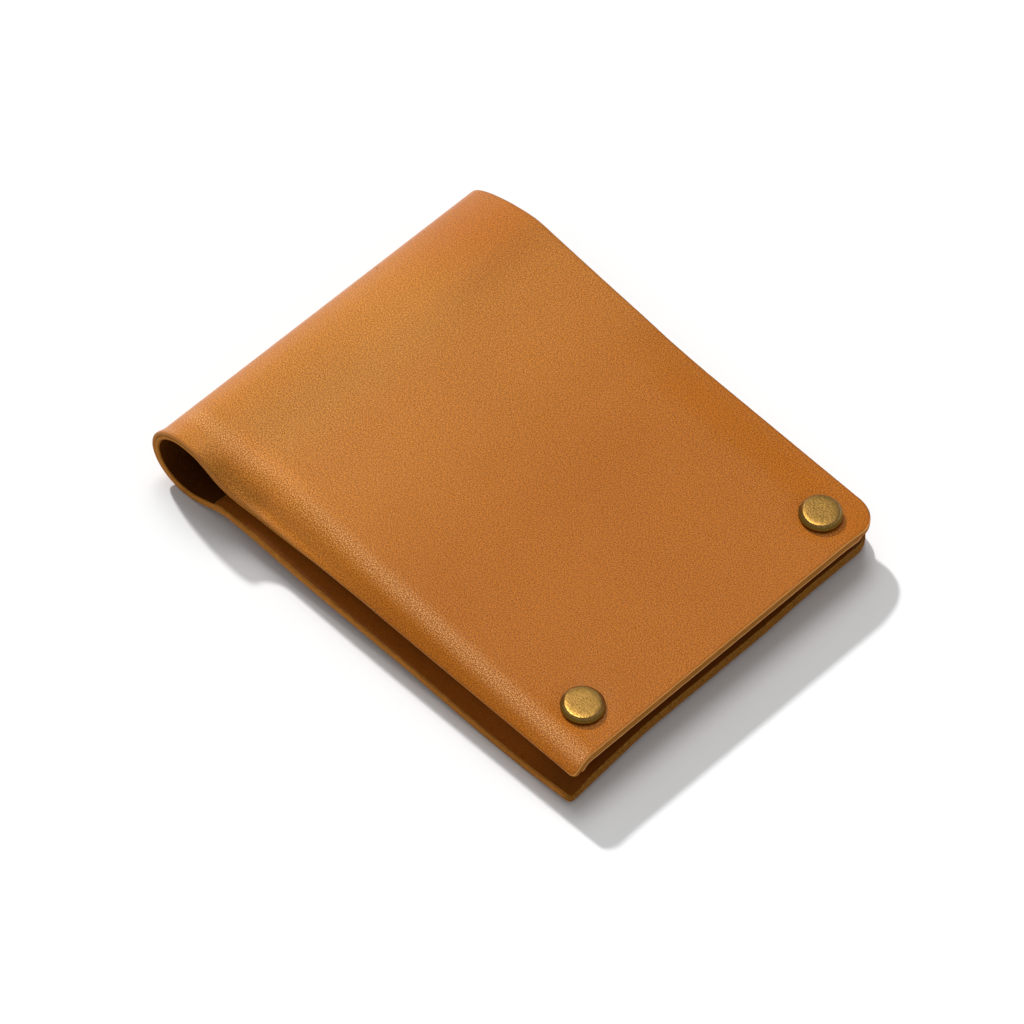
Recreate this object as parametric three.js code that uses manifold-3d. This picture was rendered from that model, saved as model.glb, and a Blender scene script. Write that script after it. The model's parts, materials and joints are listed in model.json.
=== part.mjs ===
// A closed bifold wallet: one leather cover folded round an open, tear-drop spine,
// a card pocket panel cemented inside each leaf, and two double-cap rivets through each leaf.
// Millimetres, +Z up. +X runs from the spine to the opening, +Y along the spine.
// The origin is the middle of the wallet's footprint, on the surface it lies on.

import * as THREE from 'three';
import { mergeVertices } from 'three/addons/utils/BufferGeometryUtils.js';
import Module from 'manifold-3d';

const wasm = await Module();
wasm.setup();

// Driving dimensions
const WALLET_WIDTH = 88; // along the spine
const LEAF_LENGTH = 94; // from the spine's first or last hinge to the opening
const COVER_THICKNESS = 1.7;
const PANEL_THICKNESS = 1.1;
const GAP = 0.25; // clearance between pieces that touch on the real wallet

// The lower leaf lies flat, then rises gently towards the spine.
const RAMP_LENGTH = 46;
const RAMP_ANGLE = 1.8;

// The spine is a living hinge, drawn as equal strips. Each number is the turn, in degrees,
// from one strip to the next: a shallow neck, the round of the fold, and a neck again.
const STRIP_LENGTH = 5;
const SPINE_TURNS = [-21, 5, 20, 32, 35, 36, 37, 26, 13, 4, -5.8];

// Leaf corners: small at the near end of the wallet, generous at the far end
const NEAR_CORNER = 1.5;
const FAR_CORNER = 6;
const CORNER_STEPS = 6;

// The upper leaf's near margin is curled down by use.
const CURL_START = 8;
const CURL_RADIUS = 11;
const CURL_ANGLE = 36;
const CURL_STEPS = 4;

// Pocket panels stand back from the cover's edges and stop short of the spine.
const PANEL_INSET = 0.7;
const PANEL_SPINE_INSET = 4;

// Double-cap rivets
const RIVET_FROM_OPENING = 8.6;
const RIVET_NEAR = 12.3;
const RIVET_FAR = 78.1;
const CAP_RADIUS = 4.4;
const CAP_HEIGHT = 1.2;
const CAP_ROUND = 0.5;
const HEAD_RADIUS = 4;
const HEAD_HEIGHT = 0.9;
const HEAD_ROUND = 0.3;
const SOCKET_OUTER = 1.7;
const SOCKET_INNER = 1.1;
const SOCKET_DEPTH = 2.2;
const SHANK_RADIUS = SOCKET_INNER - GAP;
const HOLE_RADIUS = SOCKET_OUTER + GAP;
const ROUND_SEGMENTS = 28;
const ROUND_STEPS = 3;

const STACK = COVER_THICKNESS + GAP + PANEL_THICKNESS;
const CAP_STAND = GAP + CAP_HEIGHT; // how far a cap stands out of the leather
const REACH = 200; // longer than any leaf, for cutting shapes
const EDGE_SLACK = 1;

const COLOURS = {
  cover: { color: 0xb8752f, roughness: 0.55, metalness: 0 },
  spine: { color: 0xb06c2a, roughness: 0.55, metalness: 0 },
  panel: { color: 0x8a5220, roughness: 0.7, metalness: 0 },
  brass: { color: 0xb08d3c, roughness: 0.35, metalness: 1 },
};

const radians = THREE.MathUtils.degToRad;
const direction = (heading) => new THREE.Vector2(Math.cos(heading), Math.sin(heading));

// Solids

function toSolid(geometry) {
  const bare = geometry.clone();
  bare.deleteAttribute('normal');
  bare.deleteAttribute('uv');
  const merged = mergeVertices(bare);
  return new wasm.Manifold(new wasm.Mesh({
    numProp: 3,
    vertProperties: merged.attributes.position.array,
    triVerts: new Uint32Array(merged.index.array),
  }));
}

function toGeometry(solid) {
  const mesh = solid.getMesh();
  const geometry = new THREE.BufferGeometry();
  geometry.setAttribute('position', new THREE.BufferAttribute(mesh.vertProperties, 3));
  geometry.setIndex(new THREE.BufferAttribute(mesh.triVerts, 1));
  geometry.computeVertexNormals();
  return geometry;
}

// An (x, z) outline drawn out along Y
function alongY(outline, nearY, farY) {
  const shape = new THREE.Shape(outline);
  const geometry = new THREE.ExtrudeGeometry(shape, { depth: farY - nearY, bevelEnabled: false });
  return geometry.rotateX(Math.PI / 2).translate(0, farY, 0);
}

// A (y, z) outline drawn out along X
function alongX(outline, startX, endX) {
  const shape = new THREE.Shape(outline);
  const geometry = new THREE.ExtrudeGeometry(shape, { depth: endX - startX, bevelEnabled: false });
  return geometry.rotateX(Math.PI / 2).rotateZ(Math.PI / 2).translate(startX, 0, 0);
}

// A leaf's outline seen from above, from startX to the opening at endX
function leafPlan(startX, endX, nearY, farY, nearCorner, farCorner) {
  const plan = new THREE.Shape();
  plan.moveTo(startX, nearY);
  plan.lineTo(endX - nearCorner, nearY);
  plan.absarc(endX - nearCorner, nearY + nearCorner, nearCorner, -Math.PI / 2, 0);
  plan.lineTo(endX, farY - farCorner);
  plan.absarc(endX - farCorner, farY - farCorner, farCorner, 0, Math.PI / 2);
  plan.lineTo(startX, farY);
  const prism = { depth: 2 * REACH, bevelEnabled: false, curveSegments: CORNER_STEPS };
  return new THREE.ExtrudeGeometry(plan, prism).translate(0, 0, -REACH);
}

// The cover's outer line in the X-Z plane

const turnAfter = [RAMP_ANGLE, ...SPINE_TURNS];
const segmentLengths = [
  LEAF_LENGTH - RAMP_LENGTH,
  RAMP_LENGTH,
  ...Array(SPINE_TURNS.length - 1).fill(STRIP_LENGTH),
  LEAF_LENGTH,
];
const outerLine = [];
const headings = [];

function drawOuterLine() {
  let heading = Math.PI;
  const pen = new THREE.Vector2(0, CAP_STAND);
  segmentLengths.forEach((length, index) => {
    outerLine.push(pen.clone());
    headings.push(heading);
    pen.addScaledVector(direction(heading), length);
    heading -= radians(turnAfter[index] ?? 0);
  });
  outerLine.push(pen.clone());
}
drawOuterLine();

// The inward offset, at one joint of the line, that keeps each side's thickness even
function mitre(index, depth) {
  const before = headings[Math.max(index - 1, 0)];
  const after = headings[Math.min(index, headings.length - 1)];
  const inward = direction((before + after) / 2 - Math.PI / 2);
  const stretch = depth / Math.cos((before - after) / 2);
  return outerLine[index].clone().addScaledVector(inward, stretch);
}

// A layer of leather between two depths below the outer line, from one joint to another,
// with each end drawn back by its own trim
function layer(first, last, outerDepth, innerDepth, firstTrim, lastTrim) {
  const outer = [];
  const inner = [];
  for (let index = first; index <= last; index += 1) {
    outer.push(mitre(index, outerDepth));
    inner.push(mitre(index, innerDepth));
  }
  const start = direction(headings[first]).multiplyScalar(firstTrim);
  const end = direction(headings[last - 1]).multiplyScalar(-lastTrim);
  outer[0].add(start);
  inner[0].add(start);
  outer.at(-1).add(end);
  inner.at(-1).add(end);
  return [...outer, ...inner.reverse()];
}

const hingeTrim = (index) => GAP / 2 / Math.cos(radians(SPINE_TURNS[index]) / 2);

const FIRST_HINGE = 2; // joints of the line before the spine: the opening and the ramp's foot
const LAST_HINGE = FIRST_HINGE + SPINE_TURNS.length - 1;

// Rivets

// Points of a disc's rim, rounded on its outer edge, for a lathe profile
function roundedRim(radius, height, round) {
  const points = [];
  for (let step = 0; step <= ROUND_STEPS; step += 1) {
    const angle = (Math.PI / 2) * (step / ROUND_STEPS);
    const across = radius - round + round * Math.cos(angle);
    points.push(new THREE.Vector2(across, height - round + round * Math.sin(angle)));
  }
  return points;
}

// The profiles' second number is the height out of the leaf's outer face.
function rivetCap() {
  const socketEnd = -SOCKET_DEPTH;
  const rim = roundedRim(CAP_RADIUS, CAP_STAND, CAP_ROUND);
  const profile = [
    new THREE.Vector2(0, GAP),
    new THREE.Vector2(SOCKET_INNER, GAP),
    new THREE.Vector2(SOCKET_INNER, socketEnd),
    new THREE.Vector2(SOCKET_OUTER, socketEnd),
    new THREE.Vector2(SOCKET_OUTER, GAP),
    new THREE.Vector2(CAP_RADIUS, GAP),
    ...rim,
    new THREE.Vector2(0, CAP_STAND),
  ];
  return new THREE.LatheGeometry(profile, ROUND_SEGMENTS).rotateX(Math.PI / 2);
}

function rivetPost() {
  const seat = STACK + GAP;
  const rim = roundedRim(HEAD_RADIUS, seat + HEAD_HEIGHT, HEAD_ROUND);
  const underside = rim.map((point) => new THREE.Vector2(point.x, -point.y)).reverse();
  const profile = [
    new THREE.Vector2(0, -seat - HEAD_HEIGHT),
    ...underside,
    new THREE.Vector2(HEAD_RADIUS, -seat),
    new THREE.Vector2(SHANK_RADIUS, -seat),
    new THREE.Vector2(SHANK_RADIUS, 0),
    new THREE.Vector2(0, 0),
  ];
  return new THREE.LatheGeometry(profile, ROUND_SEGMENTS).rotateX(Math.PI / 2);
}

function rivetHole() {
  return new THREE.CylinderGeometry(HOLE_RADIUS, HOLE_RADIUS, 2 * REACH, ROUND_SEGMENTS)
    .rotateX(Math.PI / 2);
}

// A leaf's own frame has X from its spine joint to the opening and Z out of its outer face.
function withRivetHoles(solid, openingX) {
  return [RIVET_NEAR, RIVET_FAR].reduce((leaf, y) => {
    const hole = rivetHole().translate(openingX - RIVET_FROM_OPENING, y, 0);
    return leaf.subtract(toSolid(hole));
  }, solid);
}

// The lower leaf, drawn in the wallet's frame: its opening is at X = 0

function backLayer(last, outerDepth, innerDepth, inset, lastTrim) {
  const outline = layer(0, last, outerDepth, innerDepth, inset, lastTrim);
  const nearCorner = Math.max(NEAR_CORNER - inset, inset);
  const plan = leafPlan(-REACH, -inset, inset, WALLET_WIDTH - inset, nearCorner, FAR_CORNER - inset);
  const slab = toSolid(alongY(outline, 0, WALLET_WIDTH));
  return toGeometry(withRivetHoles(slab.intersect(toSolid(plan)), 0));
}

function backLeaf() {
  return backLayer(FIRST_HINGE, 0, COVER_THICKNESS, 0, hingeTrim(0));
}

function backPanel() {
  return backLayer(FIRST_HINGE, COVER_THICKNESS + GAP, STACK, PANEL_INSET, PANEL_SPINE_INSET);
}

// One strip of the spine, between hinge number and hinge number + 1
function spineStrip(number) {
  const first = FIRST_HINGE + number;
  const outline = layer(first, first + 1, 0, COVER_THICKNESS, hingeTrim(number), hingeTrim(number + 1));
  return alongY(outline, 0, WALLET_WIDTH);
}

// The upper leaf, drawn in its own frame: its spine joint is at X = 0

// The (y, z) line of the leaf's outer face, from the far edge to the curled near edge,
// at a depth below that face
function curledLine(depth, inset) {
  const line = [new THREE.Vector2(WALLET_WIDTH - inset, -depth)];
  const radius = CURL_RADIUS - depth;
  const end = radians(CURL_ANGLE) - inset / CURL_RADIUS;
  for (let step = 0; step <= CURL_STEPS; step += 1) {
    const angle = end * (step / CURL_STEPS);
    const drop = CURL_RADIUS - radius * Math.cos(angle);
    line.push(new THREE.Vector2(CURL_START - radius * Math.sin(angle), -drop));
  }
  return line;
}

function frontLayer(outerDepth, innerDepth, inset, spineTrim) {
  const outline = [...curledLine(outerDepth, inset), ...curledLine(innerDepth, inset).reverse()];
  const band = toSolid(alongX(outline, 0, LEAF_LENGTH));
  const lean = Math.tan(radians(SPINE_TURNS.at(-1)) / 2);
  const side = [
    new THREE.Vector2(spineTrim - lean * EDGE_SLACK, EDGE_SLACK),
    new THREE.Vector2(spineTrim + lean * CURL_RADIUS, -CURL_RADIUS),
    new THREE.Vector2(REACH, -CURL_RADIUS),
    new THREE.Vector2(REACH, EDGE_SLACK),
  ];
  const nearEdge = CURL_START - CURL_RADIUS * Math.sin(radians(CURL_ANGLE)) + inset;
  const opening = LEAF_LENGTH - inset;
  const farEdge = WALLET_WIDTH - inset;
  const plan = leafPlan(-REACH, opening, nearEdge, farEdge, NEAR_CORNER, FAR_CORNER - inset);
  const cut = band.intersect(toSolid(alongY(side, 0, WALLET_WIDTH))).intersect(toSolid(plan));
  return toGeometry(withRivetHoles(cut, LEAF_LENGTH));
}

function frontLeaf() {
  return frontLayer(0, COVER_THICKNESS, 0, hingeTrim(SPINE_TURNS.length - 1));
}

function frontPanel() {
  return frontLayer(COVER_THICKNESS + GAP, STACK, PANEL_INSET, PANEL_SPINE_INSET);
}

// Assembly

function piece(name, geometry, colour) {
  const mesh = new THREE.Mesh(geometry, new THREE.MeshStandardMaterial(COLOURS[colour]));
  mesh.name = name;
  return mesh;
}

// The two rivets of a leaf, in a frame whose Z points out of the leaf's outer face
function rivets(leafName, openingX, flip) {
  const group = new THREE.Group();
  [['near', RIVET_NEAR], ['far', RIVET_FAR]].forEach(([end, y]) => {
    const rivet = new THREE.Group();
    rivet.add(piece(`${leafName}_${end}_rivet_cap`, rivetCap(), 'brass'));
    rivet.add(piece(`${leafName}_${end}_rivet_post`, rivetPost(), 'brass'));
    rivet.rotation.x = flip ? Math.PI : 0;
    rivet.position.set(openingX - RIVET_FROM_OPENING, y, 0);
    group.add(rivet);
  });
  return group;
}

function lowerLeafGroup() {
  const group = new THREE.Group();
  group.add(piece('cover_back_leaf', backLeaf(), 'cover'));
  group.add(piece('back_pocket_panel', backPanel(), 'panel'));
  const backRivets = rivets('back', 0, true);
  backRivets.position.z = CAP_STAND;
  group.add(backRivets);
  return group;
}

function spineGroup() {
  const group = new THREE.Group();
  for (let number = 0; number < SPINE_TURNS.length - 1; number += 1) {
    group.add(piece(`cover_spine_strip_${number + 1}`, spineStrip(number), 'spine'));
  }
  return group;
}

function upperLeafGroup() {
  const group = new THREE.Group();
  group.add(piece('cover_front_leaf', frontLeaf(), 'cover'));
  group.add(piece('front_pocket_panel', frontPanel(), 'panel'));
  group.add(rivets('front', LEAF_LENGTH, false));
  const joint = outerLine[LAST_HINGE];
  group.position.set(joint.x, 0, joint.y);
  group.rotation.y = -headings.at(-1);
  return group;
}

const wallet = new THREE.Group();
wallet.add(lowerLeafGroup(), spineGroup(), upperLeafGroup());

// Put the origin under the middle of the footprint.
wallet.updateMatrixWorld(true);
const box = new THREE.Box3().setFromObject(wallet, true);
const middle = box.getCenter(new THREE.Vector3());
wallet.position.set(-middle.x, -middle.y, -box.min.z);

export default wallet;
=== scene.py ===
"""A closed bifold wallet: a tan leather cover folded round an open, tear-drop spine,
a darker pocket panel inside each leaf, and two brass double-cap rivets through each leaf.

The cover is one smooth sheet, laid along the outer line of the CAD part's leaves and spine
strips and cut into one piece for each fold.
A place on the leather is (along, across, depth): the distance along the cover's outer face
from the lower leaf's opening edge, the distance from the near end, and the depth below that
face. Every sheet keeps these as a mesh attribute, and the distance in from its own outline as
another, and the materials use both.
"""

import json
import math

import bpy
import numpy as np
from mathutils import Matrix, Vector

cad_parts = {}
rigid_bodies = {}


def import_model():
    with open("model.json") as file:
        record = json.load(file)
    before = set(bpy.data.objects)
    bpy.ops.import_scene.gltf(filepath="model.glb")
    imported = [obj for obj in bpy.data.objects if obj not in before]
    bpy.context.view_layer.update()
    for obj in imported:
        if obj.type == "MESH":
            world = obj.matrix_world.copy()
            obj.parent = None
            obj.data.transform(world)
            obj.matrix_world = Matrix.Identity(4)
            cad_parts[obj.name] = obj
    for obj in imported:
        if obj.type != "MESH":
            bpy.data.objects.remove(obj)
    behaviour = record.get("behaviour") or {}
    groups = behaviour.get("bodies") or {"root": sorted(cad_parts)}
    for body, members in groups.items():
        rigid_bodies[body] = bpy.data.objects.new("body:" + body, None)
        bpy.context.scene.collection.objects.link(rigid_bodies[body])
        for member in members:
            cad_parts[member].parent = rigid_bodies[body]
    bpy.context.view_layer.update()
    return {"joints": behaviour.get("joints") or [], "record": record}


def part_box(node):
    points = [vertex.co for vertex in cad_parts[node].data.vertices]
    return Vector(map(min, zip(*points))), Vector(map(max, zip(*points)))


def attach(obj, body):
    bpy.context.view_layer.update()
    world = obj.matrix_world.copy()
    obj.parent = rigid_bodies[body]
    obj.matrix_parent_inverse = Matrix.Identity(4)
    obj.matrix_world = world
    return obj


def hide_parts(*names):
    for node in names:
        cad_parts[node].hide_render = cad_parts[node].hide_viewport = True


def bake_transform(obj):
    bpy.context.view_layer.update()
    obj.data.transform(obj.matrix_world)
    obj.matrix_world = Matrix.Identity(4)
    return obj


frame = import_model()

MM = 0.001
NEAR_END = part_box("cover_back_leaf")[0].y

# Sizes shared with the CAD part
WIDTH = 88 * MM
LEAF_LENGTH = 94 * MM
RAMP_LENGTH = 46 * MM
RAMP_ANGLE = 1.8
STRIP_LENGTH = 5 * MM
SPINE_TURNS = [-21, 5, 20, 32, 35, 36, 37, 26, 13, 4, -5.8]
COVER_THICKNESS = 1.7 * MM
PANEL_THICKNESS = 1.1 * MM
FRONT_PANEL_SPINE_INSET = 4 * MM
FAR_CORNER = 6 * MM
CAP_RADIUS = 4.4 * MM

# A leaf's whole thickness, without the clearances that the CAD part has between its pieces
STACK = COVER_THICKNESS + PANEL_THICKNESS

# Where each leaf's two rivets sit, a little off their seats in the CAD part
RIVET_FROM_OPENING = {"near": 8.9 * MM, "far": 8.35 * MM}
RIVET_ACROSS = {"near": 12.95 * MM, "far": 78.75 * MM}

# Rivet caps: a nearly flat face, a rounded shoulder and a flange, on a socket through the
# leather. The pair is how far the underside is sunk in, at the rim and at the socket.
CAP_STAND = 1.38 * MM
CROWN = 0.06 * MM
CROWN_POWER = 8
CROWN_SHARES = (0.3, 0.5, 0.65, 0.78, 0.88, 0.95)
SHOULDER_RADIUS = 0.3 * MM
SHOULDER_INSET = 0.6 * MM
FLANGE_RADIUS = 0.4 * MM
FLANGE_HEIGHT = 0.3 * MM
CAP_UNDERCUT = 0.2 * MM
CAP_SUNK = (0.3 * MM, 0.35 * MM)
SOCKET_RADIUS = 1.7 * MM
SOCKET_DEPTH = 2.2 * MM

# Their inner heads, each with a dimple (radius, depth) and a pin. The pair is how far the
# underside is sunk in, at the rim and at the pin.
HEAD_RADIUS = 4 * MM
HEAD_HEIGHT = 1.1 * MM
HEAD_RIM = 0.3 * MM
HEAD_DIMPLE = ((0, 0.12 * MM), (1.2 * MM, 0.1 * MM), (1.5 * MM, 0))
HEAD_UNDERCUT = 0.1 * MM
HEAD_SUNK = (0.05 * MM, 0.06 * MM)
PIN_RADIUS = 0.85 * MM
PIN_REACH = 0.8 * MM

# Mesh density. A rounded edge has a row at each of these shares of its radius.
LEAF_STEP = 1.3 * MM
SPINE_STEP = 0.5 * MM
MARGIN_STEP = 0.6 * MM
MARGIN_WIDTH = 16 * MM
LINE_STEP = 0.1 * MM
EDGE_SHARES = (0, 0.08, 0.3, 0.62, 1)
CORNER_STEPS = 10
CURL_STEPS = 24
LATHE_SEGMENTS = 96
SHARP_ANGLE = 35

# Every rivet takes its own part of the brass pattern, this many times its seat's place away
PATTERN_SHIFT = 7

# Shape of the leather. A reach is how far from a corner of the outer line its arc starts.
NEAR_CORNER = 1.0 * MM
COVER_EDGE_ROUND = 0.32 * MM
PANEL_EDGE_ROUND = 0.12 * MM
RAMP_FOOT_REACH = 12 * MM
HINGE_REACH = STRIP_LENGTH / 2

# The back panel nearly reaches the cover's edges, pared thin there so that it leaves no step.
# The front one stops short of them, except at the opening.
BACK_PANEL_INSET = 0.3 * MM
BACK_PANEL_OPENING_INSET = BACK_PANEL_INSET / 3
BACK_PANEL_PAST_HINGE = 2.2 * MM
FRONT_PANEL_INSET = 1.6 * MM
FRONT_PANEL_OPENING_INSET = 0.1 * MM
PARED_THICKNESS = 0.1 * MM
PARED_WIDTH = 6 * MM
SUNK_IN = 0.3 * MM

# The upper leaf's near margin is curled down: its width and steepest slope, beside the spine
# and at the opening, and where past the last fold it sets in.
CURL_WIDTH = (12 * MM, 8 * MM)
CURL_SLOPE = (52, 38)
CURL_ONSET = (-9 * MM, 9 * MM)

# Beside the spine the curl levels out at its edge: where past the last fold that fades, how
# much slope is lost, past which share of the curl's width, and how much sooner it is steepest.
LEVEL_OUT = (6 * MM, 42 * MM)
LEVEL_LOSS = 0.9
LEVEL_FROM = 0.78
LEVEL_SOONER = 0.3

# Beside the spine the upper leaf stands up at its far end and is pressed in at its near end.
# The pairs are distances past the last fold between which that rises and falls.
SWELL_FAR = 3.7 * MM
SWELL_NEAR = -0.9 * MM
SWELL_RISE = (-16 * MM, 2 * MM)
SWELL_FALL = (-2 * MM, 36 * MM)
SWELL_FALL_POWER = 1.2
SWELL_LEAN_POWER = 0.8

# The upper leaf's far margin hangs a little, setting in at this distance past the last fold.
FAR_MARGIN_DROP = 0.9 * MM
FAR_MARGIN_ONSET = (26 * MM, 48 * MM)

# The upper leaf's near opening corner stands up, its far one down. The twist sets in at this
# share of the leaf's length, and at these distances across.
TWIST_UP = 0.9 * MM
TWIST_DOWN = 0.5 * MM
TWIST_FROM = 0.35
TWIST_NEAR_SPAN = (RIVET_ACROSS["near"] - 4 * MM, -2 * MM)
TWIST_FAR_SPAN = (RIVET_ACROSS["far"] - 2 * MM, WIDTH)

# The ring's cut edge is a little flared at its near end. The pairs number the folds between
# which the flare rises and falls.
RING_FLARE = 0.4 * MM
RING_FLARE_WIDTH = 2.5 * MM
RING_FLARE_RISE = (2, 5)
RING_FLARE_FALL = (7, 9)

# The lower leaf's near edge sags towards the table, and lifts by a share of that beside the
# spine. The pairs are distances along between which each sets in and ends.
SAG = 1.35 * MM
SAG_WIDTH = 10 * MM
SAG_RISE = (-8 * MM, 14 * MM)
SAG_FALL = (18 * MM, 48 * MM)
LIFT_SHARE = 0.5
LIFT_RISE = (70 * MM, 88 * MM)
LIFT_FALL = (92 * MM, 104 * MM)

# The lower leaf's opening edge is a little askew, and the upper leaf's near opening corner
# reaches out: how far, over which distances across, and how far along the leaf it fades out.
SKEW_OUT = 1.2 * MM
SKEW_OUT_SPAN = (0, 26 * MM)
SKEW_IN = 0.5 * MM
SKEW_IN_SPAN = (52 * MM, 70 * MM)
SKEW_FADE = 16 * MM
CORNER_OUT = 0.6 * MM
CORNER_OUT_SPAN = (0.5 * MM, 7 * MM)
CORNER_OUT_FADE = 12 * MM

# How far in from the near edge the curl's bend is, beside the spine and at the opening, in
# millimetres, for the painted sheen band on it
BEND_FROM_EDGE = (7.2, 4.8)

# Leather pressed in round the rivet caps
DIMPLE_DEPTH = 0.22 * MM
DIMPLE_SPAN = (CAP_RADIUS - 0.3 * MM, 6.6 * MM)

# Camera and light
VIEW_TARGET = Vector((2.947, -4.171, 5.0)) * MM
VIEW_AZIMUTH = 43.707
VIEW_ELEVATION = 52.702
VIEW_ROLL = 1.12
VIEW_DISTANCE = 1.5
LENS = 269.45
SENSOR = 36
CLIP_START = 0.1
CLIP_END = 20
SKY_STRENGTH = 0.40
FLOOR_HALF = 3.0

# Lamps: the elevation they shine from, the azimuth their light travels towards, strength,
# spread, colour, and the kind of reflection they show in. The key light draws the long shadow
# and the fill a soft one; the other two only make sheens, along the curl and over the spine.
LAMPS = {
    "key": (36.5, -17, 3.15, 3.5, (1, 1, 1), "diffuse"),
    "fill": (62, -38, 1.1, 28, (1, 1, 1), "diffuse"),
    "curl_sheen": (73, -16, 2.2, 9, (1, 0.86, 0.60), "glossy"),
    "spine_sheen": (15, -26, 0.5, 25, (1, 0.92, 0.8), "glossy"),
}

# Colours, as linear red, green, blue and alpha
TAN = (0.352, 0.101, 0.0043, 1)
# Painted light: the tan made paler beside the spine, a painted highlight over the spine's top and
# a painted sheen by the neck of the curl
TAN_PAINTED_LIGHT_BY_SPINE = (0.432, 0.143, 0.0140, 1)
TAN_PAINTED_HIGHLIGHT_ON_CREST = (0.450, 0.178, 0.0250, 1)
TAN_PAINTED_SHEEN_BY_NECK = (0.525, 0.174, 0.0180, 1)
# A painted sheen along the curl's bend
TAN_PAINTED_SHEEN = (0.72, 0.350, 0.110, 1)
CREASE = (0.20, 0.055, 0.004, 1)
# The rim line, partly a burnish and partly a painted highlight
RIM_BURNISH_AND_PAINTED_HIGHLIGHT = (0.40, 0.140, 0.018, 1)
BURNISH_FAR = (0.19, 0.060, 0.004, 1)
# A painted highlight on the rim line at the upper leaf's opening
RIM_PAINTED_HIGHLIGHT_AT_OPENING = (0.66, 0.270, 0.050, 1)
SUEDE_DARK = (0.060, 0.0150, 0.0010, 1)
SUEDE_PALE = (0.130, 0.036, 0.0035, 1)
SUEDE_BRUSHED = (0.085, 0.023, 0.002, 1)
COVER_EDGE_PALE = (0.62, 0.240, 0.040, 1)
COVER_EDGE_DARK = (0.28, 0.092, 0.009, 1)
PANEL_EDGE_PALE = (0.58, 0.245, 0.045, 1)
PANEL_EDGE_DARK = (0.20, 0.074, 0.006, 1)
# Painted shade on the lower leaf's opening edge, with its dark fibre specks
EDGE_PAINTED_SHADE_AT_OPENING = (0.215, 0.088, 0.006, 1)
EDGE_SPECK = (0.048, 0.019, 0.001, 1)
EDGE_GROOVE = (0.10, 0.030, 0.003, 1)
# A painted highlight line low on the upper leaf's cut edge
EDGE_PAINTED_HIGHLIGHT_LINE = (0.80, 0.40, 0.16, 1)
POCKET_DARK = (0.345, 0.090, 0.0050, 1)
POCKET_PALE = (0.415, 0.116, 0.009, 1)
# Painted shade inside the pockets, away from their edges
POCKET_PAINTED_INNER_SHADE = (0.105, 0.029, 0.0015, 1)
POCKET_PORE = (0.16, 0.04, 0.002, 1)
# Painted shade in the gap at the lower leaf's opening
POCKET_PAINTED_SHADE_AT_OPENING = (0.105, 0.032, 0.002, 1)
BRASS_DARK = (0.305, 0.188, 0.058, 1)
BRASS_PALE = (0.345, 0.213, 0.067, 1)
BRASS_PIT = (0.19, 0.110, 0.028, 1)
BRASS_PATINA = (0.235, 0.120, 0.010, 1)
FLOOR_WHITE = (0.8, 0.8, 0.8, 1)


# The cover's outer line


def heading_vector(heading):
    """A step of one, in x and z, in a heading."""
    return np.array([np.cos(heading), np.sin(heading)])


def outer_corners():
    """The corners (x, z) of the outer line, and the heading after each of them."""
    lower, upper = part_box("cover_back_leaf")
    turns = [RAMP_ANGLE] + SPINE_TURNS
    lengths = [LEAF_LENGTH - RAMP_LENGTH, RAMP_LENGTH]
    lengths += [STRIP_LENGTH] * (len(SPINE_TURNS) - 1) + [LEAF_LENGTH]
    pen = np.array([upper.x, lower.z])
    heading = math.pi
    corners = [pen]
    headings = []
    for index, length in enumerate(lengths):
        headings.append(heading)
        pen = pen + length * heading_vector(heading)
        corners.append(pen)
        if index < len(turns):
            heading -= math.radians(turns[index])
    return corners, headings


def rounded_line():
    """The outer line with an arc at every corner: columns of distance, x, z and heading,
    and the distance at the middle of each arc."""
    corners, headings = outer_corners()
    rows = [(0.0, corners[0][0], corners[0][1], headings[0])]
    arc_middles = []
    distance = 0.0
    start = corners[0]
    for index in range(1, len(headings)):
        before, after = headings[index - 1], headings[index]
        turn = before - after
        reach = RAMP_FOOT_REACH if index == 1 else HINGE_REACH
        arc_start = corners[index] - reach * heading_vector(before)
        distance += float(np.hypot(*(arc_start - start)))
        rows.append((distance, arc_start[0], arc_start[1], before))
        radius = reach / math.tan(abs(turn) / 2)
        side = heading_vector(before - math.copysign(math.pi / 2, turn))
        centre = arc_start + radius * side
        arc_length = radius * abs(turn)
        steps = max(2, int(arc_length / LINE_STEP))
        for step in range(1, steps + 1):
            swept = turn * step / steps
            arm = heading_vector(before - swept + math.copysign(math.pi / 2, turn))
            point = centre + radius * arm
            rows.append((distance + arc_length * step / steps, *point, before - swept))
        arc_middles.append(distance + arc_length / 2)
        distance += arc_length
        start = corners[index] + reach * heading_vector(after)
    distance += float(np.hypot(*(corners[-1] - start)))
    rows.append((distance, *corners[-1], headings[-1]))
    return np.array(rows), arc_middles


LINE, ARC_MIDDLES = rounded_line()
COVER_LENGTH = LINE[-1, 0]
HINGES = ARC_MIDDLES[1:]
LAST_HINGE = HINGES[-1]
STRIP_MIDDLES = [(a + b) / 2 for a, b in zip(HINGES, HINGES[1:])]


def smooth(value, low, high):
    """0 at low, 1 at high, easing between."""
    share = np.clip((value - low) / (high - low), 0, 1)
    return share * share * (3 - 2 * share)


# Where a place on the leather is in the wallet's frame


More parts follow.
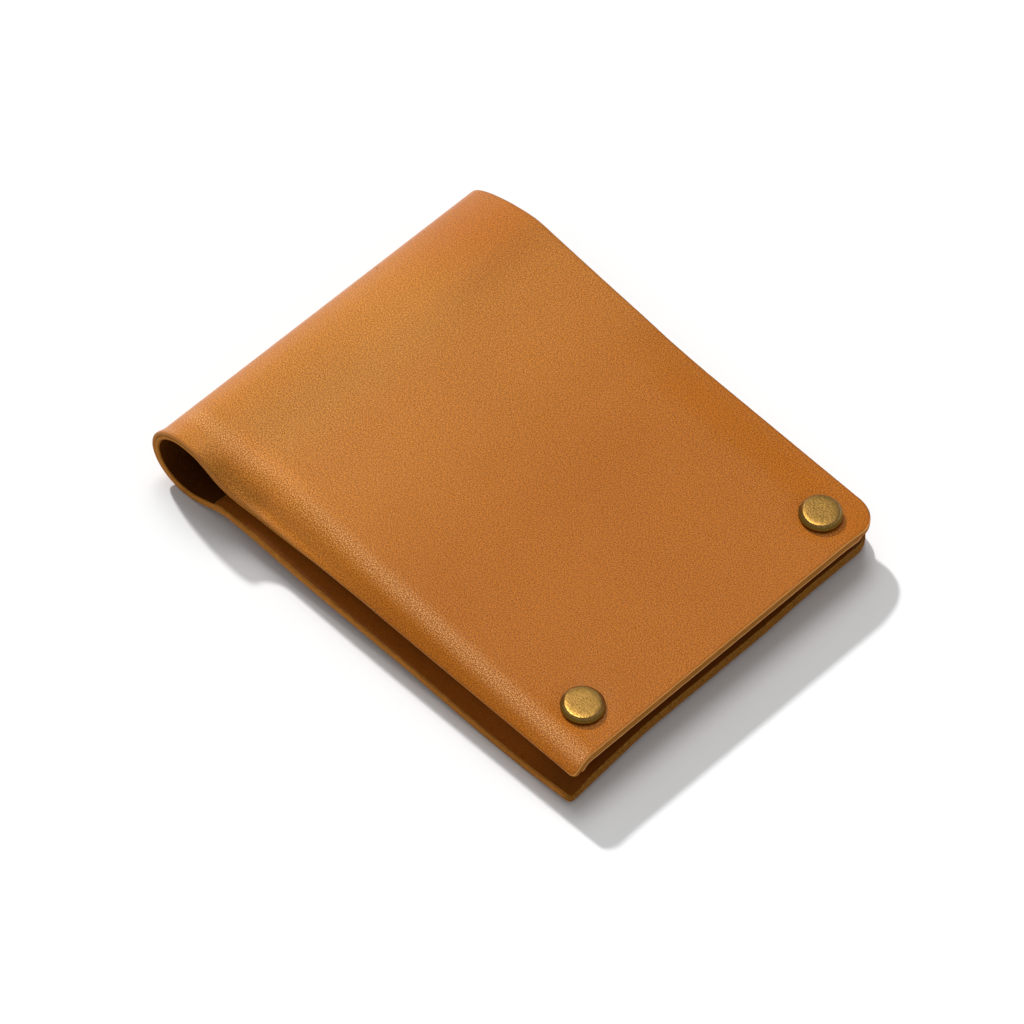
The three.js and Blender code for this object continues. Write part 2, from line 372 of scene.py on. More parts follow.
def curled(along, across, depth):
    """The upper leaf's curl: how far a place moves across and how far it drops."""
    into_leaf = along - LAST_HINGE
    share = np.clip(into_leaf / LEAF_LENGTH, 0, 1)
    width = CURL_WIDTH[0] + (CURL_WIDTH[1] - CURL_WIDTH[0]) * share
    steepest = np.radians(CURL_SLOPE[0] + (CURL_SLOPE[1] - CURL_SLOPE[0]) * share)
    steepest = steepest * smooth(into_leaf, *CURL_ONSET)
    level = LEVEL_LOSS * (1 - smooth(into_leaf, *LEVEL_OUT))
    flat = np.maximum(width - across, 0)

    def slope(distance):
        part = distance / width
        rising = smooth(part, 0, 1 - LEVEL_SOONER * level)
        return steepest * rising * (1 - level * smooth(part, LEVEL_FROM, 1))

    middles = (np.arange(CURL_STEPS) + 0.5) / CURL_STEPS
    angles = [slope(flat * middle) for middle in middles]
    bent = flat * np.mean(np.cos(angles), axis=0)
    drop = flat * np.mean(np.sin(angles), axis=0)
    edge = slope(flat)
    return flat - bent + depth * np.sin(edge), drop - depth * (1 - np.cos(edge))


def upper_rise(along, across):
    """How far the upper leaf stands out of its flat outer face, apart from its curl."""
    into_leaf = along - LAST_HINGE
    fallen = np.clip((into_leaf - SWELL_FALL[0]) / (SWELL_FALL[1] - SWELL_FALL[0]), 0, 1)
    swell = smooth(into_leaf, *SWELL_RISE) * (1 - fallen) ** SWELL_FALL_POWER
    lean = SWELL_NEAR + (SWELL_FAR - SWELL_NEAR) * (across / WIDTH) ** SWELL_LEAN_POWER
    opening = smooth(along, LAST_HINGE + TWIST_FROM * LEAF_LENGTH, COVER_LENGTH)
    near = smooth(across, *TWIST_NEAR_SPAN)
    far = smooth(across, *TWIST_FAR_SPAN)
    margin = FAR_MARGIN_DROP * far * smooth(into_leaf, *FAR_MARGIN_ONSET)
    return swell * lean + opening * (TWIST_UP * near - TWIST_DOWN * far) - margin


def lower_sag(along, across):
    """How far the lower leaf's near edge hangs below its flat outer face."""
    sagging = smooth(along, *SAG_RISE) - smooth(along, *SAG_FALL)
    lifting = smooth(along, *LIFT_RISE) - smooth(along, *LIFT_FALL)
    at_edge = 1 - smooth(across, 0, SAG_WIDTH)
    return (SAG * sagging - LIFT_SHARE * SAG * lifting) * at_edge


def ring_flare(along, across):
    """How far the cut edge of the spine's near end stands out."""
    rise, fall = ([HINGES[n] for n in span] for span in (RING_FLARE_RISE, RING_FLARE_FALL))
    top = smooth(along, *rise) - smooth(along, *fall)
    return RING_FLARE * top * (1 - smooth(across, 0, RING_FLARE_WIDTH))


def pulled(along, across):
    """How far each leaf's opening edge is from square: out at its near corner."""
    lower = SKEW_OUT * (1 - smooth(across, *SKEW_OUT_SPAN))
    lower -= SKEW_IN * smooth(across, *SKEW_IN_SPAN)
    upper = CORNER_OUT * (1 - smooth(across, *CORNER_OUT_SPAN))
    at_lower = 1 - smooth(along, 0, SKEW_FADE)
    at_upper = smooth(along, COVER_LENGTH - CORNER_OUT_FADE, COVER_LENGTH)
    return lower * at_lower + upper * at_upper


def dimpled(along, across, depth):
    """How far the leather is pressed in round each rivet, fading out through its thickness."""
    pressed = np.zeros_like(along)
    from_opening = np.minimum(along, COVER_LENGTH - along)
    for end, rivet_across in RIVET_ACROSS.items():
        away = np.hypot(from_opening - RIVET_FROM_OPENING[end], across - rivet_across)
        pressed += 1 - smooth(away, *DIMPLE_SPAN)
    return DIMPLE_DEPTH * pressed * np.clip(1 - depth / COVER_THICKNESS, 0, 1)


def place(along, across, depth):
    """The points, in the wallet's frame, of places on the leather."""
    along, across, depth = (np.asarray(v, float) for v in (along, across, depth))
    moved, sunk = curled(along, across, depth)
    inward = depth + sunk + dimpled(along, across, depth) - upper_rise(along, across)
    inward -= lower_sag(along, across) + ring_flare(along, across) * (1 - depth / STACK)
    heading = np.interp(along, LINE[:, 0], LINE[:, 3])
    x = np.interp(along, LINE[:, 0], LINE[:, 1]) + inward * np.cos(heading - math.pi / 2)
    x += pulled(along, across)
    z = np.interp(along, LINE[:, 0], LINE[:, 2]) + inward * np.sin(heading - math.pi / 2)
    return np.stack([x, NEAR_END + across + moved, z], axis=-1)


def unit(vectors):
    """Rows of vectors, each made one long."""
    return vectors / np.maximum(np.linalg.norm(vectors, axis=1), 1e-30)[:, None]


def add_object(name, data):
    """A new object in the scene with this mesh, light or camera."""
    made = bpy.data.objects.new(name, data)
    bpy.context.scene.collection.objects.link(made)
    return made


# Sheets of leather

GRAIN, FLESH, CUT_EDGE, HIDDEN = range(4)


class Outline:
    """A sheet's flat outline: a rectangle with its own radius at each of its corners."""

    def __init__(self, start, end, near, far, start_corners, end_corners):
        self.start, self.end = start, end
        self.near_side, self.far_side = near, far
        self.corners = {
            (0, 0): start_corners[0],
            (0, 1): start_corners[1],
            (1, 0): end_corners[0],
            (1, 1): end_corners[1],
        }

    def side(self, along, which):
        """Where the near (0) or far (1) edge is, at a distance along."""
        edge = np.full_like(along, self.far_side if which else self.near_side)
        into = -1 if which else 1
        for end in (0, 1):
            radius = self.corners[(end, which)]
            left = np.clip(self.end - along if end else along - self.start, 0, radius)
            edge += into * (radius - np.sqrt(np.maximum(radius**2 - (radius - left) ** 2, 0)))
        return edge

    def inside(self, along, across):
        """The distance in from the outline."""
        nearest = np.full_like(along, np.inf)
        for (end, which), radius in self.corners.items():
            from_end = self.end - along if end else along - self.start
            from_side = self.far_side - across if which else across - self.near_side
            round_off = radius - np.hypot(radius - from_end, radius - from_side)
            in_corner = (from_end < radius) & (from_side < radius)
            straight = np.minimum(from_end, from_side)
            nearest = np.minimum(nearest, np.where(in_corner, round_off, straight))
        return np.maximum(nearest, 0)


def end_rows(radii, edge_round):
    """Distances in from an end, close together where its corners and rounded edge are."""
    rows = {share * edge_round for share in EDGE_SHARES}
    for radius in radii:
        for step in range(CORNER_STEPS + 1):
            rows.add(radius * (1 - math.cos(math.pi / 2 * step / CORNER_STEPS)))
    return sorted(rows)


def spread(low, high, step):
    """Even values from low to high, no further apart than step."""
    return np.linspace(low, high, max(2, int(math.ceil((high - low) / step)) + 1))


def merged(values, closest=0.01 * MM):
    """Sorted values, without any that lies almost on another."""
    kept = []
    for value in sorted(values):
        if not kept or value - kept[-1] > closest:
            kept.append(float(value))
    return np.array(kept)


def sheet_rows(outline, edge_round, cuts):
    """Distances along a sheet for its rows, with a row at every cut."""
    start_radii = [outline.corners[(0, 0)], outline.corners[(0, 1)]]
    end_radii = [outline.corners[(1, 0)], outline.corners[(1, 1)]]
    first = [outline.start + v for v in end_rows(start_radii, edge_round)]
    last = [outline.end - v for v in end_rows(end_radii, edge_round)]
    stops = [max(first), *cuts, min(last)]
    rows = first + last
    # The rows are close together where the sheet bends round the spine
    for low, high in zip(stops, stops[1:]):
        bends = high > HINGES[0] - STRIP_LENGTH and low < LAST_HINGE + STRIP_LENGTH
        if not bends or high - low < 2 * STRIP_LENGTH:
            rows += list(spread(low, high, SPINE_STEP if bends else LEAF_STEP))
        elif low < HINGES[0]:
            rows += list(spread(low, HINGES[0] - STRIP_LENGTH, LEAF_STEP))
            rows += list(spread(HINGES[0] - STRIP_LENGTH, high, SPINE_STEP))
        else:
            rows += list(spread(low, LAST_HINGE + 2 * STRIP_LENGTH, SPINE_STEP))
            rows += list(spread(LAST_HINGE + 2 * STRIP_LENGTH, high, LEAF_STEP))
    return merged(rows)


def sheet_columns(outline, rows, edge_round):
    """For each row, the distances across for its columns."""
    near, far = outline.side(rows, 0), outline.side(rows, 1)
    insets = np.array(EDGE_SHARES) * edge_round
    width = outline.far_side - outline.near_side
    margin = list(spread(insets[-1], MARGIN_WIDTH, MARGIN_STEP))
    rest = list(spread(MARGIN_WIDTH, width - insets[-1], LEAF_STEP))
    middle = (merged(margin + rest)[1:-1] - insets[-1]) / (width - 2 * insets[-1])
    low, high = near + insets[-1], far - insets[-1]
    between = low[:, None] + (high - low)[:, None] * middle[None, :]
    return np.hstack(
        [near[:, None] + insets[None, :], between, far[:, None] - insets[None, ::-1]]
    )


def grid_faces(first, second, flip):
    """Quads between two rows of vertex numbers."""
    quads = np.stack([first[:-1], first[1:], second[1:], second[:-1]], axis=-1)
    return quads[:, ::-1] if flip else quads


class Sheet:
    """The vertices and faces of a whole sheet, ready to be cut into pieces by rows."""

    def __init__(self, outline, outer_depth, inner_depth, edge_round, cuts=(), pared=0):
        self.rows = sheet_rows(outline, edge_round, cuts)
        across = sheet_columns(outline, self.rows, edge_round)
        along = np.repeat(self.rows[:, None], across.shape[1], axis=1)
        inside = outline.inside(along, across)
        lift = np.clip(edge_round - inside, 0, edge_round)
        rounding = edge_round - np.sqrt(edge_round**2 - lift**2)
        from_pared_edge = np.minimum(outline.end - along, across - outline.near_side)
        from_pared_edge = np.minimum(from_pared_edge, outline.far_side - across)
        inner = inner_depth - pared * (1 - smooth(from_pared_edge, 0, PARED_WIDTH))
        places = [
            np.stack([along, across, outer_depth + rounding], axis=-1),
            np.stack([along, across, inner - rounding], axis=-1),
        ]
        self.places = np.concatenate([p.reshape(-1, 3) for p in places])
        self.rim = np.concatenate([inside.ravel(), inside.ravel()])
        middle = (inside[:-1, :-1] + inside[1:, 1:]) / 2
        self.rounded_cells = middle < edge_round
        self.points = place(*self.places.T)
        self.outer = np.arange(along.size).reshape(along.shape)
        self.inner = self.outer + along.size
        whole, _ = self.faces(0, len(self.rows) - 1, True, True)
        self.normals = self.vertex_normals(whole)

    def faces(self, first_row, last_row, first_open, last_open):
        """Quads of the rows from first to last and each one's kind: grain, flesh, cut edge,
        or a hidden face where one piece of the sheet ends against the next."""
        quads, kinds = [], []

        def add(faces, kind):
            quads.append(faces)
            kinds.append(np.full(len(faces), kind))

        for row in range(first_row, last_row):
            add(grid_faces(self.outer[row], self.outer[row + 1], True), GRAIN)
            inner_kinds = np.where(self.rounded_cells[row], CUT_EDGE, FLESH)
            add(grid_faces(self.inner[row], self.inner[row + 1], False), inner_kinds)
        span = slice(first_row, last_row + 1)
        add(grid_faces(self.outer[span, 0], self.inner[span, 0], True), CUT_EDGE)
        add(grid_faces(self.outer[span, -1], self.inner[span, -1], False), CUT_EDGE)
        for row, is_open, flip in ((first_row, first_open, False), (last_row, last_open, True)):
            add(
                grid_faces(self.outer[row], self.inner[row], flip),
                CUT_EDGE if is_open else HIDDEN,
            )
        return np.concatenate(quads), np.concatenate(kinds)

    def face_normals(self, quads):
        """A vector square to each quad, as long as twice its area."""
        corners = self.points[quads]
        return np.cross(corners[:, 2] - corners[:, 0], corners[:, 3] - corners[:, 1])

    def vertex_normals(self, quads):
        normals = np.zeros_like(self.points)
        face = self.face_normals(quads)
        for corner in range(4):
            np.add.at(normals, quads[:, corner], face)
        return unit(normals)

    def piece(self, name, low, high, materials):
        """The part of the sheet between two distances along it, as an object."""
        first_row = int(np.argmin(abs(self.rows - low)))
        last_row = int(np.argmin(abs(self.rows - high)))
        first_open = first_row == 0
        last_open = last_row == len(self.rows) - 1
        quads, kinds = self.faces(first_row, last_row, first_open, last_open)
        used, numbers = np.unique(quads, return_inverse=True)
        numbers = numbers.reshape(quads.shape)
        mesh = bpy.data.meshes.new(name)
        mesh.from_pydata(self.points[used].tolist(), [], numbers.tolist())
        attribute = mesh.attributes.new("leather", "FLOAT_VECTOR", "POINT")
        attribute.data.foreach_set("vector", self.places[used].astype(np.float32).ravel())
        rim = mesh.attributes.new("rim", "FLOAT", "POINT")
        rim.data.foreach_set("value", self.rim[used].astype(np.float32))
        for material in materials:
            mesh.materials.append(material)
        indices = np.minimum(kinds, CUT_EDGE).astype(np.int32)
        mesh.polygons.foreach_set("material_index", indices)
        mesh.polygons.foreach_set("use_smooth", np.ones(len(quads), bool))
        corner_normals = self.normals[quads]
        hidden = kinds == HIDDEN
        corner_normals[hidden] = unit(self.face_normals(quads[hidden]))[:, None, :]
        mesh.normals_split_custom_set(corner_normals.reshape(-1, 3).tolist())
        return add_object(name, mesh)


# Materials. Distances in them are in millimetres, and noise has a scale, detail and roughness.


class Nodes:
    """A material's node tree, with short calls for adding and joining nodes."""

    def __init__(self, name):
        self.material = bpy.data.materials.new(name)
        self.material.use_nodes = True
        self.tree = self.material.node_tree
        self.shader = self.tree.nodes["Principled BSDF"]

    def link(self, source, target):
        """Sets an input to a number or colour, or joins it to another node's output."""
        if isinstance(source, (int, float, tuple)):
            target.default_value = source
        else:
            self.tree.links.new(source, target)

    def add(self, kind, inputs=(), **settings):
        node = self.tree.nodes.new(kind)
        for key, value in settings.items():
            setattr(node, key, value)
        for key, value in dict(inputs).items():
            self.link(value, node.inputs[key])
        return node

    def math(self, operation, first, second=0.5):
        node = self.add("ShaderNodeMath", {0: first, 1: second}, operation=operation)
        return node.outputs[0]

    def times(self, first, *factors):
        """The product of two or more values."""
        product = first
        for factor in factors:
            product = self.math("MULTIPLY", product, factor)
        return product

    def between(self, value, low, high, to_low=0.0, to_high=1.0):
        """Eases from to_low where the value is low to to_high where it is high."""
        inputs = {"Value": value, 1: low, 2: high, 3: to_low, 4: to_high}
        node = self.add("ShaderNodeMapRange", inputs, interpolation_type="SMOOTHSTEP")
        return node.outputs[0]

    def band(self, value, low, high, soft):
        """1 between low and high, fading out over soft on both sides."""
        return self.times(
            self.between(value, low - soft, low), self.between(value, high + soft, high)
        )

    def mix(self, factor, first, second, blend_type="MIX"):
        node = self.add("ShaderNodeMix", data_type="RGBA", blend_type=blend_type)
        self.link(factor, node.inputs[0])
        self.link(first, node.inputs[6])
        self.link(second, node.inputs[7])
        return node.outputs[2]

    def stored(self, name):
        """A mesh attribute, by the name it was stored under."""
        return self.add("ShaderNodeAttribute", attribute_name=name).outputs

    def places(self):
        """The place on the leather, as a vector and as its three numbers."""
        scaled = self.add(
            "ShaderNodeVectorMath", {0: self.stored("leather")["Vector"]}, operation="SCALE"
        )
        scaled.inputs["Scale"].default_value = 1 / MM
        split = self.add("ShaderNodeSeparateXYZ", {0: scaled.outputs[0]})
        return scaled.outputs[0], split.outputs

    def rim(self):
        """The distance in from the sheet's outline."""
        return self.times(self.stored("rim")["Fac"], 1 / MM)

    def stretched(self, vector, scale):
        node = self.add("ShaderNodeVectorMath", {0: vector, 1: scale}, operation="MULTIPLY")
        return node.outputs[0]

    def noise(self, vector, scale, detail, roughness):
        inputs = {"Vector": vector, "Scale": scale, "Detail": detail, "Roughness": roughness}
        return self.add("ShaderNodeTexNoise", inputs).outputs[0]

    def bump(self, height, distance, strength, under=None):
        inputs = {"Height": height, "Distance": distance, "Strength": strength}
        node = self.add("ShaderNodeBump", inputs)
        if under is not None:
            self.link(under, node.inputs["Normal"])
        return node.outputs[0]

    def finish(self, colour, roughness, normal=None, **constants):
        self.link(colour, self.shader.inputs["Base Color"])
        self.link(roughness, self.shader.inputs["Roughness"])
        if normal is not None:
            self.link(normal, self.shader.inputs["Normal"])
        for key, value in constants.items():
            self.shader.inputs[key.replace("_", " ")].default_value = value
        return self.material


def tan_with_painted_light(nodes, across, past_spine, off_bend):
    """The tan with painted light: paler beside the spine, a painted highlight over the spine's top
    and a painted sheen by the neck of the curl.
    """
    # Painted light, paler beside the spine and dimmed towards its far end
    painted_light_by_spine = nodes.times(
        nodes.between(past_spine, -24.0, 2.0), nodes.between(past_spine, 52.0, 8.0)
    )
    off_far_end = nodes.math(
        "MAXIMUM",
        nodes.between(across, 84.0, 55.0, 0.3, 1.0),
        nodes.between(past_spine, -8.0, 8.0),
    )
    # A painted highlight over the spine's top
    painted_crest_highlight = nodes.times(
        nodes.between(past_spine, -24.0, -12.0),
        nodes.between(past_spine, 12.0, 0.0, 0.0, 0.45),
        nodes.between(across, 80.0, 50.0),
    )
    # A painted sheen by the neck of the curl
    painted_neck_sheen = nodes.times(
        nodes.between(past_spine, -10.0, -2.0),
        nodes.between(past_spine, 20.0, 6.0),
        nodes.between(off_bend, 6.0, 1.0),
    )
    colour = nodes.mix(nodes.times(painted_light_by_spine, off_far_end), TAN, TAN_PAINTED_LIGHT_BY_SPINE)
    colour = nodes.mix(painted_crest_highlight, colour, TAN_PAINTED_HIGHLIGHT_ON_CREST)
    return nodes.mix(painted_neck_sheen, colour, TAN_PAINTED_SHEEN_BY_NECK)


def grained(nodes, colour, fine, patches, mottle):
    """A colour with its pebbled grain and faint patches, redder where it is darker."""
    shade = nodes.between(patches, 0.3, 0.7, 0.98, 1.02)
    blur = nodes.between(mottle, 0.25, 0.75, 0.985, 1.015)
    grime = nodes.between(fine, 0.3, 0.7, 0.46, 1.54)
    level = nodes.times(shade, blur, grime)
    channels = {
        0: level,
        1: nodes.math("POWER", level, 1.15),
        2: nodes.math("POWER", level, 1.5),
    }
    tint = nodes.add("ShaderNodeCombineColor", channels).outputs[0]
    return nodes.mix(1.0, colour, tint, "MULTIPLY")


def burnish_and_painted_highlight(nodes, colour, along, across):
    """A colour with a crease and a line round the sheet's cut edge, partly a burnish and partly a
    painted highlight, and only a painted highlight at the upper leaf's opening.
    """
    rim = nodes.rim()
    opening = nodes.between(along, COVER_LENGTH / MM - 2.5, COVER_LENGTH / MM - 1.0)
    far = nodes.between(across, WIDTH / MM - 4.0, WIDTH / MM - 2.0)
    # The rim line is partly a burnish and partly a painted highlight; at the upper leaf's opening
    # it is a painted highlight
    line = nodes.mix(far, RIM_BURNISH_AND_PAINTED_HIGHLIGHT, BURNISH_FAR)
    line = nodes.mix(opening, line, RIM_PAINTED_HIGHLIGHT_AT_OPENING)
    crease = nodes.times(nodes.band(rim, 0.35, 0.5, 0.15), 0.3)
    colour = nodes.mix(crease, colour, CREASE)
    return nodes.mix(nodes.between(rim, 0.28, 0.1), colour, line)


def grain_leather():
    """The cover's outer face: tan and finely pebbled, with a painted sheen along the curl's bend.
    """
    nodes = Nodes("tan_grain_leather")
    vector, (along, across, _) = nodes.places()
    fine = nodes.noise(nodes.stretched(vector, (1.0, 1.0, 0.3)), 3.8, 2, 0.6)
    patches = nodes.noise(vector, 0.05, 3, 0.55)
    mottle = nodes.noise(vector, 0.5, 3, 0.6)
    past_spine = nodes.math("SUBTRACT", along, LAST_HINGE / MM)
    bend = nodes.between(past_spine, 0.0, LEAF_LENGTH / MM, *BEND_FROM_EDGE)
    off_bend = nodes.math("ABSOLUTE", nodes.math("SUBTRACT", across, bend))

    colour = tan_with_painted_light(nodes, across, past_spine, off_bend)
    colour = grained(nodes, colour, fine, patches, mottle)
    # A painted sheen along the curl's bend, speckled over the grain's tops
    painted_sheen_band = nodes.times(
        nodes.between(off_bend, 3.2, 0.3), nodes.between(past_spine, -24.0, -14.0)
    )
    tops = nodes.between(fine, 0.47, 0.66)
    colour = nodes.mix(nodes.times(painted_sheen_band, tops, 0.85), colour, TAN_PAINTED_SHEEN)
    colour = burnish_and_painted_highlight(nodes, colour, along, across)
    normal = nodes.bump(fine, 0.13 * MM, 0.8)
    rough = nodes.between(mottle, 0.2, 0.8, 0.27, 0.31)
    return nodes.finish(colour, rough, normal, Specular_IOR_Level=0.2)


def flesh_leather():
    """The cover's inner face: dark brown napped suede."""
    nodes = Nodes("dark_suede_flesh")
    vector, _ = nodes.places()
    nap = nodes.noise(vector, 2.6, 4, 0.7)
    brushed = nodes.noise(nodes.stretched(vector, (0.25, 0.6, 0.5)), 1.0, 3, 0.6)
    colour = nodes.mix(nodes.between(nap, 0.3, 0.7), SUEDE_DARK, SUEDE_PALE)
    colour = nodes.mix(nodes.between(brushed, 0.35, 0.7), colour, SUEDE_BRUSHED)
    normal = nodes.bump(nap, 0.25 * MM, 0.7)
    return nodes.finish(colour, 0.95, normal, Specular_IOR_Level=0.02)


def cut_edge(name, pale, dark, grooves, lip):
    """A cut edge of fibrous layers, with painted shade and dark fibre specks at the lower leaf's
    opening. On the upper leaf it has dark grooves and a painted highlight line at the given
    depths."""
    nodes = Nodes(name)
    vector, (along, _, depth) = nodes.places()
    layers = nodes.noise(nodes.stretched(vector, (0.5, 0.5, 6.0)), 1.0, 4, 0.65)
    fibres = nodes.noise(nodes.stretched(vector, (2.2, 2.2, 3.5)), 1.0, 3, 0.7)
    colour = nodes.mix(nodes.between(layers, 0.3, 0.7, 0.35, 0.85), dark, pale)
    # Painted shade on the lower leaf's opening edge, with dark fibre specks in it
    painted_shade_at_opening = nodes.between(along, 3.0, 0.5, 0.15, 0.6)
    colour = nodes.mix(painted_shade_at_opening, colour, EDGE_PAINTED_SHADE_AT_OPENING)
    specks = nodes.times(nodes.between(fibres, 0.44, 0.6), painted_shade_at_opening)
    colour = nodes.mix(specks, colour, EDGE_SPECK)
    middle = COVER_LENGTH / MM / 2
    on_upper_leaf = nodes.between(along, middle - 9, middle + 9)
    for groove in grooves:
        line = nodes.band(depth, groove - 0.06, groove + 0.06, 0.12)
        colour = nodes.mix(nodes.times(line, 0.7, on_upper_leaf), colour, EDGE_GROOVE)
    # A painted highlight line on the upper leaf's cut edge
    line = nodes.band(depth, lip - 0.15, lip + 0.15, 0.1)
    colour = nodes.mix(nodes.times(line, 0.8, on_upper_leaf), colour, EDGE_PAINTED_HIGHLIGHT_LINE)
    normal = nodes.bump(fibres, 0.12 * MM, 0.6)
    normal = nodes.bump(layers, 0.15 * MM, 0.5, normal)
    return nodes.finish(colour, 0.75, normal, Specular_IOR_Level=0.05)


def pocket_leather():
    """The pocket panels: smooth brown, with painted shade away from their edges and painted
    shade in the gap at the lower leaf's opening."""
    nodes = Nodes("brown_pocket_leather")
    vector, (along, _, _) = nodes.places()
    grain = nodes.noise(vector, 2.4, 3, 0.6)
    patches = nodes.noise(vector, 0.3, 4, 0.6)
    colour = nodes.mix(patches, POCKET_DARK, POCKET_PALE)
    # Painted shade away from the panel's edges
    painted_inner_shade = nodes.between(nodes.rim(), 1.0, 9.0, 0.0, 0.65)
    colour = nodes.mix(painted_inner_shade, colour, POCKET_PAINTED_INNER_SHADE)
    colour = nodes.mix(nodes.between(grain, 0.35, 0.65, 0.35, 0.0), colour, POCKET_PORE)
    # Painted shade in the gap at the lower leaf's opening
    painted_shade_at_opening = nodes.times(nodes.between(along, 16.0, 2.0), 0.6)
    colour = nodes.mix(painted_shade_at_opening, colour, POCKET_PAINTED_SHADE_AT_OPENING)
    normal = nodes.bump(grain, 0.06 * MM, 0.6)
    rough = nodes.between(patches, 0.3, 0.7, 0.6, 0.7)
    return nodes.finish(colour, rough, normal, Specular_IOR_Level=0.1)


def aged_brass():
    """The rivets' brass: satin, finely pitted, with a darker patina on the flange."""
    nodes = Nodes("aged_brass")
    vector = nodes.stretched(nodes.stored("metal")["Vector"], (1 / MM, 1 / MM, 1 / MM))
    reach = nodes.stored("reach")["Fac"]
    mottle = nodes.noise(vector, 1.6, 4, 0.65)
    grit = nodes.noise(vector, 3.0, 2, 0.5)
    colour = nodes.mix(nodes.between(mottle, 0.35, 0.65), BRASS_DARK, BRASS_PALE)
    pits = nodes.between(grit, 0.42, 0.66, 0.0, 0.65)
    colour = nodes.mix(pits, colour, BRASS_PIT)
    patina = nodes.between(reach, 0.875, 0.93, 0.0, 0.75)
    colour = nodes.mix(patina, colour, BRASS_PATINA)
    normal = nodes.bump(grit, 0.06 * MM, 0.6)
    rough = nodes.between(mottle, 0.3, 0.7, 0.30, 0.36)
    return nodes.finish(colour, rough, normal, Metallic=1.0)


# The cover


def cover_pieces(grain, flesh, edge):
    """The cover, cut at the middle of every strip that turns, one piece for each fold."""
    outline = Outline(
        0, COVER_LENGTH, 0, WIDTH, (NEAR_CORNER, FAR_CORNER), (NEAR_CORNER, FAR_CORNER)
    )
    cuts = STRIP_MIDDLES[1:-1]
    sheet = Sheet(outline, 0, COVER_THICKNESS, COVER_EDGE_ROUND, cuts)
    members = frame["record"]["behaviour"]["bodies"]
    bodies = [frame["joints"][0]["parent"]] + [joint["child"] for joint in frame["joints"]]
    stops = [0.0] + cuts + [COVER_LENGTH]
    for index, (first, second) in enumerate(zip(bodies, bodies[1:])):
        name = frame["joints"][index]["name"].replace("spine", "cover")
        piece = sheet.piece(name, stops[index], stops[index + 1], [grain, flesh, edge])
        start = place(STRIP_MIDDLES[index], WIDTH / 2, COVER_THICKNESS / 2)
        end = place(STRIP_MIDDLES[index + 1], WIDTH / 2, COVER_THICKNESS / 2)
        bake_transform(piece)
        nodes = members[first] + (members[second] if second == bodies[-1] else [])
        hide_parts(*[node for node in nodes if node.startswith("cover_")])


def pocket_panels(leather, edge):
    """The panel inside each leaf."""
    square = (NEAR_CORNER / 2, NEAR_CORNER / 2)
    cover_corners = (NEAR_CORNER, FAR_CORNER)
    back = Outline(
        BACK_PANEL_OPENING_INSET, HINGES[0] + BACK_PANEL_PAST_HINGE,
        BACK_PANEL_INSET, WIDTH - BACK_PANEL_INSET, cover_corners, square,
    )
    front = Outline(
        LAST_HINGE + FRONT_PANEL_SPINE_INSET, COVER_LENGTH - FRONT_PANEL_OPENING_INSET,
        FRONT_PANEL_INSET, WIDTH - FRONT_PANEL_INSET, square, cover_corners,
    )
    pared = PANEL_THICKNESS - PARED_THICKNESS
    outer_depth = COVER_THICKNESS - SUNK_IN
    for leaf, outline, paring in (("back", back, pared), ("front", front, 0)):
        sheet = Sheet(outline, outer_depth, STACK, PANEL_EDGE_ROUND, pared=paring)
        panel = sheet.piece(
            f"{leaf}_pocket", outline.start, outline.end, [leather, leather, edge]
        )
        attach(panel, f"{leaf}_leaf")
        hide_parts(f"{leaf}_pocket_panel")


# Rivets


def arc_points(centre, radius, start, end, steps):
    """Points (radius, height) round an arc, angles in degrees."""
    points = []
    for step in range(steps + 1):
        angle = math.radians(start + (end - start) * step / steps)
        points.append((centre[0] + radius * math.cos(angle), centre[1] + radius * math.sin(angle)))
    return points


def cap_profile():
    """The cap's outline from the middle of its face to the end of its socket."""
    face = CAP_RADIUS - SHOULDER_INSET - SHOULDER_RADIUS
    shoulder = (face, CAP_STAND - SHOULDER_RADIUS - CROWN)
    flange = (CAP_RADIUS - FLANGE_RADIUS, FLANGE_HEIGHT)
    profile = [(0, CAP_STAND)]
    for share in CROWN_SHARES:
        profile.append((face * share, CAP_STAND - CROWN * share**CROWN_POWER))
    profile += arc_points(shoulder, SHOULDER_RADIUS, 84, 25, 7)
    profile += arc_points(flange, FLANGE_RADIUS, 60, -25, 8)
    profile += [
        (CAP_RADIUS - CAP_UNDERCUT, -CAP_SUNK[0]),
        (SOCKET_RADIUS, -CAP_SUNK[1]),
        (SOCKET_RADIUS, -SOCKET_DEPTH),
        (0, -SOCKET_DEPTH),
    ]
    return profile


def head_profile():
    """The outline of the inner head, against the pocket panel, and its pin, from the pin."""
    top = -STACK - HEAD_HEIGHT
    profile = [(radius, top + sunk) for radius, sunk in HEAD_DIMPLE]
    profile += arc_points((HEAD_RADIUS - HEAD_RIM, top + HEAD_RIM), HEAD_RIM, -90, 0, 5)
    profile += [
        (HEAD_RADIUS - HEAD_UNDERCUT, -STACK + HEAD_SUNK[0]),
        (PIN_RADIUS, -STACK + HEAD_SUNK[1]),
        (PIN_RADIUS, -STACK + PIN_REACH),
        (0, -STACK + PIN_REACH),
    ]
    return profile[::-1]


